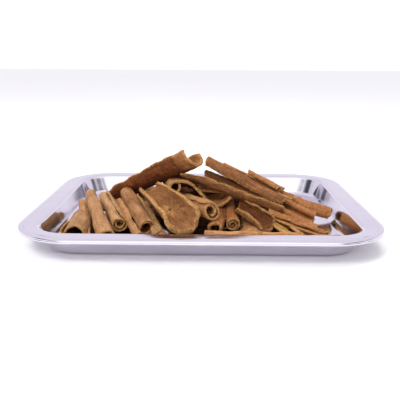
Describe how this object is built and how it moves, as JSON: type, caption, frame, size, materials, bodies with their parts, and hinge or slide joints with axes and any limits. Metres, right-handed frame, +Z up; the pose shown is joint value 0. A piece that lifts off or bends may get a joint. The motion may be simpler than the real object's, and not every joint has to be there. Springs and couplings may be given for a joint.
{
  "type": "stack of cinnamon sticks",
  "caption": "Loose heap of rolled and half-open cinnamon bark in a shallow rectangular steel tray with a wide flat rim and rounded corners.",
  "frame": {"origin": "middle of the tray's underside", "axes": "+X along the tray's longer side, to the right as seen from the front, +Y towards its back edge, +Z up"},
  "size_m": [0.27, 0.23, 0.0656],
  "materials": {
    "steel": "polished stainless sheet",
    "bark": "dry, uncoated bark"
  },
  "bodies": {
    "root": {"tray": "steel", "cinnamon_heap": "bark"}
  },
  "joints": []
}
